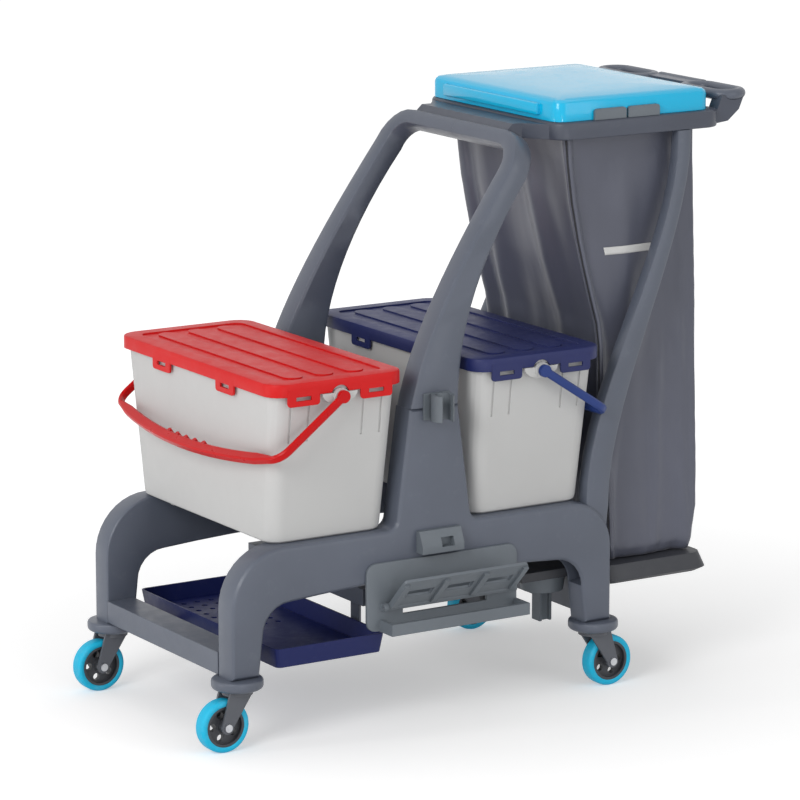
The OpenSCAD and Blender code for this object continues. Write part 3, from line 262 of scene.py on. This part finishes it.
# Mouldings of another batch than the others of their slot
HUB_PLASTIC = moulded("hub_plastic", srgb(60, 62, 67), rough=0.45)
OTHER_BATCH = {
    "bag_base": moulded("base_plastic", srgb(48, 50, 56), rough=0.5),
    "bag_holder": moulded("holder_plastic", srgb(68, 73, 86), rough=0.4),
    "blue_bail": moulded("bail_plastic", srgb(30, 56, 122), rough=0.4, mottle=0.05, scuff=0.06,
                         specular=0.35),
    "red_bail": moulded("red_bail_plastic", srgb(196, 4, 8), rough=0.3, mottle=0.04, scuff=0.02,
                        specular=0.22),
    **{f"{corner}_hub": HUB_PLASTIC for corner in CORNERS},
}

# Edges of a solid that bend by more than this stay sharp
SHARP_DEGREES = 28
# Corners of facets closer than this are one corner, in metres
SAME_PLACE = 1e-6


def smoothing_group():
    """Joins the facets of a solid and shades it smooth, but for its sharp edges."""
    group = bpy.data.node_groups.new("smooth_by_angle", "GeometryNodeTree")
    group.interface.new_socket("Geometry", in_out="INPUT", socket_type="NodeSocketGeometry")
    group.interface.new_socket("Geometry", in_out="OUTPUT", socket_type="NodeSocketGeometry")
    t = Tree(group)
    start = t.add("NodeGroupInput").outputs[0]
    joined = t.add("GeometryNodeMergeByDistance", Geometry=start, Distance=SAME_PLACE).outputs[0]
    angle = t.add("GeometryNodeInputMeshEdgeAngle").outputs[0]
    sharp = t.add("FunctionNodeCompare", data_type="FLOAT", operation="GREATER_THAN")
    t.feed(sharp.inputs[0], angle)
    t.feed(sharp.inputs[1], math.radians(SHARP_DEGREES))
    shaded = t.add("GeometryNodeSetMeshNormal", mode="SHARPNESS", Mesh=joined,
                   Edge_Sharpness=sharp.outputs[0])
    shaded.inputs["Remove Custom"].default_value = True
    t.feed(t.add("NodeGroupOutput").inputs[0], shaded.outputs[0])
    return group


def finish_nodes():
    """Gives each node of the model its finish and smooth shading."""
    smooth = smoothing_group()
    for part in frame["record"]["subparts"]:
        node = frame["nodes"][part["node"]]
        node.data.materials.clear()
        node.data.materials.append(OTHER_BATCH.get(part["node"], FINISHES[part["material_slot"]]))
        node.modifiers.new("smooth", "NODES").node_group = smooth


finish_nodes()

# Waste bag, in millimetres

BAG_CORNER = 9
BAG_WALL, TRIM_WALL = 1.5, 0.6
# Height, front x, rear x and half width up the bag, just inside the solid that it stands for
BAG_STATIONS = np.array([
    (192, 361, 518, 176),
    (208, 356, 520, 181),
    (260, 355, 530, 178),
    (330, 355, 534, 172),
    (420, 346, 536, 165),
    (531, 346, 536, 160),
    (567, 341, 536, 160),
    (605, 330, 535, 160),
    (657, 316, 533, 160),
    (700, 306, 532, 159),
    (760, 294, 530, 159),
    (820, 286, 528, 159),
    (858, 283, 527, 159),
    (876, 282, 528, 160),
])
BAG_FOOT, BAG_TOP = BAG_STATIONS[0, 0], BAG_STATIONS[-1, 0]
# Folds on the front as [y at the rim, y lower down, half width], and on the sides as
# [x at the rim, x lower down, half width, height above which it fades]
FRONT_FOLDS = ((-29, -62, 24), (96, 90, 30), (146, 146, 14))
SIDE_FOLDS = ((513, 505, 13, 990), (520, 400, 15, 600), (482, 459, 10, 560), (392, 404, 22, 800))
# Heights at which the folds are at their lower places, and the height over which one fades
FRONT_FOLD_LOW, SIDE_FOLD_LOW, FADE = 540, 460, 60
# Depth of the hollows between the folds, and of the dents, pulled creases and gathers
FRONT_DEPTH, REAR_DEPTH, SIDE_DEPTH = 12, 4, 4.5
DENT_DEPTH, PULL_DEPTH, GATHER_DEPTH = 3.0, 2.4, 1.8
# From this x on, and over this length, the rear of the sides is pulled into creases
PULL_START, PULL_LENGTH = 430, 80
# Shares of the bag's height: gathered below the first, drawn flat above the second, and
# with no zip above the third
GATHERED, FLAT, ZIP_END = 0.1, 0.92, 0.96
# Rise, distance from the zip and half width of its welts, and depth and half width of its groove
WELT_RISE, WELT_PLACE, WELT_WIDTH = 2.0, 9, 3.4
GROOVE_DEPTH, GROOVE_WIDTH = 2.6, 2.2
# Zone beside the zip and the upright edges that no fold reaches
EDGE_ZONE = 14

# The mesh: rows up the bag, and shares of the way round it, closer together beside the zip
BAG_ROWS = 120
ZIP_ZONE, ZIP_COLUMNS, OTHER_COLUMNS = 0.03, 24, 210
BAG_SHARES = np.concatenate([
    np.linspace(0, ZIP_ZONE, ZIP_COLUMNS, endpoint=False),
    np.linspace(ZIP_ZONE, 1 - ZIP_ZONE, OTHER_COLUMNS, endpoint=False),
    np.linspace(1 - ZIP_ZONE, 1, ZIP_COLUMNS, endpoint=False),
])


def outline_point(share, x0, x1, half, radius):
    """Point and outward direction at a share of the way round a rounded rectangle.

    It starts in the middle of the corner of front and left side, and goes along the left side.
    """
    lx = x1 - x0 - 2 * radius
    ly = 2 * half - 2 * radius
    bend = math.pi * radius / 2
    girth = 2 * lx + 2 * ly + 4 * bend
    s = (share * girth - bend / 2) % girth
    cx = (x0 + x1) / 2
    for length, start, heading in (
        (lx, (-lx / 2, -half), 0), (ly, ((x1 - x0) / 2, -ly / 2), 90),
        (lx, (lx / 2, half), 180), (ly, (-(x1 - x0) / 2, ly / 2), 270),
    ):
        a = math.radians(heading)
        if s <= length:
            x, y = start[0] + s * math.cos(a), start[1] + s * math.sin(a)
            return (cx + x, y), (math.sin(a), -math.cos(a))
        s -= length
        if s <= bend:
            turn = a - math.pi / 2 + s / radius
            corner = (start[0] + length * math.cos(a) - radius * math.sin(a),
                      start[1] + length * math.sin(a) + radius * math.cos(a))
            out = (math.cos(turn), math.sin(turn))
            return (cx + corner[0] + radius * out[0], corner[1] + radius * out[1]), out
        s -= bend
    return (cx - lx / 2, -half), (0, -1)


def hump(distance, width):
    """1 at the middle of a fold, falling off over its half width."""
    return math.exp(-(distance / width) ** 2)


def clamp(value):
    return max(0.0, min(1.0, value))


def bag_fold(x, y, z, out, from_zip, from_edge):
    """How far the vinyl stands in or out at a place, in millimetres.

    It is given the distances round the bag from its zip and from its nearest upright edge.
    """
    height = (z - BAG_FOOT) / (BAG_TOP - BAG_FOOT)
    facing = abs(out[0])
    wander = noise.noise(Vector((x * 0.004, y * 0.006, z * 0.0015)))
    # Long folds that hang from the rim on front and rear, with hollows between them
    down = (BAG_TOP - z) / (BAG_TOP - FRONT_FOLD_LOW)
    crest = max(hump(y + 5 * wander - top - (low - top) * down, width)
                for top, low, width in FRONT_FOLDS)
    depth = FRONT_DEPTH if out[0] < 0 else REAR_DEPTH
    folds = -depth * facing * (1 - crest) * (0.55 + 0.45 * min(1, down))
    # Ridges on the sides, and pulled creases near the rear edge
    ridge = 0.0
    for top, low, width, fade in SIDE_FOLDS:
        line = top + (low - top) * (BAG_TOP - z) / (BAG_TOP - SIDE_FOLD_LOW)
        ridge = max(ridge, hump(x + 6 * wander - line, width) * clamp((fade - z) / FADE))
    rear = clamp((x - PULL_START) / PULL_LENGTH)
    crumple = noise.noise(Vector((x * 0.06 + z * 0.012, y * 0.05, z * 0.016 + 5)))
    sides = (1 - facing) * (PULL_DEPTH * rear * crumple - SIDE_DEPTH * (1 - ridge))
    # Soft dents all round
    dents = DENT_DEPTH * (noise.noise(Vector((x * 0.02, y * 0.02, z * 0.006))) - 1)
    # Gathered at the base, drawn flat under the rim
    gather = GATHER_DEPTH * clamp(1 - height / GATHERED) ** 1.5 * math.sin((x + y) * 0.16 + 3 * wander)
    flat = 1 - 0.85 * clamp((height - FLAT) / (1 - FLAT))
    # Zip in the corner of front and left side, between two welts
    clear = 1 - hump(min(abs(from_zip), from_edge), EDGE_ZONE)
    zipped = (WELT_RISE * hump(abs(from_zip) - WELT_PLACE, WELT_WIDTH)
              - GROOVE_DEPTH * hump(from_zip, GROOVE_WIDTH))
    zipped *= 1 - clamp((height - ZIP_END) / (1 - ZIP_END))
    return (folds + sides + dents) * flat * clear + gather - 1.0 + zipped


def bag_place(share, z, lift=0.0):
    """A place on the bag, raised by lift millimetres, in the row frame."""
    x0, x1, half = (np.interp(z, BAG_STATIONS[:, 0], BAG_STATIONS[:, k]) for k in (1, 2, 3))
    (x, y), out = outline_point(share, x0, x1, half, BAG_CORNER)
    girth = 2 * (x1 - x0) + 4 * half
    from_zip = (share if share < 0.5 else share - 1) * girth
    from_edge = math.hypot(min(abs(x - x0), abs(x1 - x)), half - abs(y))
    lift += bag_fold(x, y, z, out, from_zip, from_edge)
    return at(x + lift * out[0], y + lift * out[1], z)


def new_piece(name, points, faces, finish, body="cart"):
    """A smooth mesh object that rides on a body, with that finish."""
    mesh = bpy.data.meshes.new(name)
    mesh.from_pydata([tuple(p) for p in points], [], faces)
    mesh.polygons.foreach_set("use_smooth", [True] * len(mesh.polygons))
    mesh.update()
    piece = bpy.data.objects.new(name, mesh)
    bpy.context.scene.collection.objects.link(piece)
    mesh.materials.append(finish)
    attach(piece, body)
    return piece


def thicken(piece, thickness, offset):
    """Gives a sheet a wall of that many millimetres, inside it at -1 and on both sides at 0."""
    wall = piece.modifiers.new("wall", "SOLIDIFY")
    wall.thickness = thickness / 1000
    wall.offset = offset


def make_bag():
    """Lofted shell with hanging folds, gathered above the base, open under the rim."""
    columns = len(BAG_SHARES)
    heights = np.linspace(BAG_FOOT, BAG_TOP, BAG_ROWS + 1)
    points = [bag_place(share, z) for z in heights for share in BAG_SHARES]
    faces = []
    for row in range(BAG_ROWS):
        for column in range(columns):
            a = row * columns + column
            b = row * columns + (column + 1) % columns
            faces.append((a, b, b + columns, a + columns))
    faces.append(tuple(reversed(range(columns))))
    bag = new_piece("waste_bag_cloth", points, faces, FINISHES["vinyl"])
    thicken(bag, BAG_WALL, -1)
    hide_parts("waste_bag")


def bag_trim(name, heights, shares, lift, finish):
    """A thin strip sewn on the bag, at those heights and those shares of the way round."""
    columns = len(shares)
    points = [bag_place(share % 1, z, lift) for z in heights for share in shares]
    faces = [(a, a + 1, a + 1 + columns, a + columns)
             for row in range(len(heights) - 1)
             for a in range(row * columns, (row + 1) * columns - 1)]
    thicken(new_piece(name, points, faces, finish), TRIM_WALL, 0)


def make_trims():
    """Pale reflective strip on the left side of the bag, and the zip in its corner."""
    bag_trim("reflective_strip", np.linspace(671, 683, 5), np.linspace(0.045, 0.15, 40), 0.8,
             beaded("reflective", srgb(224, 224, 222)))
    bag_trim("zip", np.linspace(200, 866, 160), np.linspace(-0.0014, 0.0014, 5), 1.0,
             moulded("zip", srgb(26, 27, 33), rough=0.5))


make_bag()
make_trims()

# Floor, light and camera, in metres

FLOOR_REACH = 20
FLOOR_GREY = (0.8, 0.8, 0.8, 1)
WHITE = (1, 1, 1, 1)
# Glow of the floor near the cart and away from it, and the distances between which it grows. The weaker
# glow near the cart is painted shade that darkens the floor around the cart.
PAINTED_SHADE_GLOW, GLOW_FAR = 0.36, 0.68
GLOW_START, GLOW_STOP = 0.4, 1.7
WORLD_LIGHT = 0.46


def seen_directly(t):
    """1 for rays that show the background itself, in view, in gloss or through glass."""
    ray = t.add("ShaderNodeLightPath").outputs
    return t.maths("MAXIMUM", ray["Is Camera Ray"],
                   t.maths("MAXIMUM", ray["Is Glossy Ray"], ray["Is Transmission Ray"]))


def make_floor():
    """Pale floor that looks white but for the object's shadow and a painted shade: its glow is weaker
    near the cart.
    """
    mesh = bpy.data.meshes.new("floor")
    r = FLOOR_REACH
    mesh.from_pydata([(-r, -r, 0), (r, -r, 0), (r, r, 0), (-r, r, 0)], [], [(0, 1, 2, 3)])
    floor = bpy.data.objects.new("floor", mesh)
    bpy.context.scene.collection.objects.link(floor)
    material, t, coords = new_material("floor")
    matt = t.add("ShaderNodeBsdfDiffuse", Color=FLOOR_GREY).outputs[0]
    away = t.add("ShaderNodeVectorMath", operation="LENGTH")
    t.feed(away.inputs[0], coords)
    # Painted shade: the floor glows less near the cart, which darkens it there beyond its real shadow.
    glow_with_painted_shade = t.remap(away.outputs["Value"], PAINTED_SHADE_GLOW, GLOW_FAR, GLOW_START, GLOW_STOP)
    glow = t.add("ShaderNodeEmission", Color=WHITE, Strength=glow_with_painted_shade).outputs[0]
    lit = t.add("ShaderNodeAddShader")
    both = t.add("ShaderNodeMixShader")
    for node, links in ((lit, (matt, glow)), (both, (seen_directly(t), matt, lit.outputs[0]))):
        for socket, link in zip(node.inputs, links):
            t.feed(socket, link)
    t.add("ShaderNodeOutputMaterial", Surface=both.outputs[0])
    mesh.materials.append(material)


def make_world():
    """White to look at and in reflections, and a soft light on the object."""
    world = bpy.data.worlds.new("studio")
    bpy.context.scene.world = world
    world.use_nodes = True
    world.node_tree.nodes.clear()
    t = Tree(world.node_tree)
    strength = t.remap(seen_directly(t), WORLD_LIGHT, 1.0, 0, 1)
    back = t.add("ShaderNodeBackground", Color=WHITE, Strength=strength)
    t.add("ShaderNodeOutputWorld", Surface=back.outputs[0])


def make_lamp(name, place, aim, size, power, shown=True):
    """An area lamp at a place, turned to what it lights."""
    lamp = bpy.data.lights.new(name, "AREA")
    lamp.shape = "RECTANGLE"
    lamp.size, lamp.size_y = size
    lamp.energy = power
    holder = bpy.data.objects.new(name, lamp)
    holder.location = place
    holder.rotation_euler = (Vector(aim) - Vector(place)).to_track_quat("-Z", "Y").to_euler()
    holder.visible_camera = shown
    bpy.context.scene.collection.objects.link(holder)


def make_lamps():
    """Large soft lamps, and two narrow upright ones for bright streaks on rounded edges."""
    make_lamp("key", (-3.6, -1.9, 2.4), (0, 0, 0.4), size=(1.8, 1.8), power=72)
    make_lamp("fill", (1.4, -4.0, 1.8), (0.1, 0, 0.5), size=(2.0, 2.0), power=22)
    make_lamp("top", (0.4, 0.6, 3.8), (0, 0, 0.4), size=(2.6, 2.6), power=16)
    for name, place in (("left_streak", (-1.96, 0.18, 0.45)), ("near_streak", (-0.74, -2.22, 0.45))):
        make_lamp(name, place, (0.36, -0.15, 0.9), size=(0.06, 0.8), power=4, shown=False)


AZIMUTH, ELEVATION, DISTANCE = -31.95, 12.0, 6.339
FOCAL_PIXELS, FRAME_PIXELS, SENSOR = 4098, 800, 36
# What the camera looks at, in millimetres from the middle of the casters
CAMERA_AIM = (86.3, 0, 446.6)


def make_camera():
    """The photograph's viewpoint."""
    a, e = math.radians(AZIMUTH), math.radians(ELEVATION)
    back = Vector((math.sin(a) * math.cos(e), -math.cos(a) * math.cos(e), math.sin(e)))
    data = bpy.data.cameras.new("camera")
    data.sensor_width = SENSOR
    data.lens = FOCAL_PIXELS / FRAME_PIXELS * SENSOR
    data.clip_end = 3 * FLOOR_REACH
    camera = bpy.data.objects.new("camera", data)
    camera.location = at(*CAMERA_AIM) + DISTANCE * back
    camera.rotation_euler = back.to_track_quat("Z", "Y").to_euler()
    bpy.context.scene.collection.objects.link(camera)
    bpy.context.scene.camera = camera


make_floor()
make_world()
make_lamps()
make_camera()
bpy.context.scene.view_settings.view_transform = "Standard"
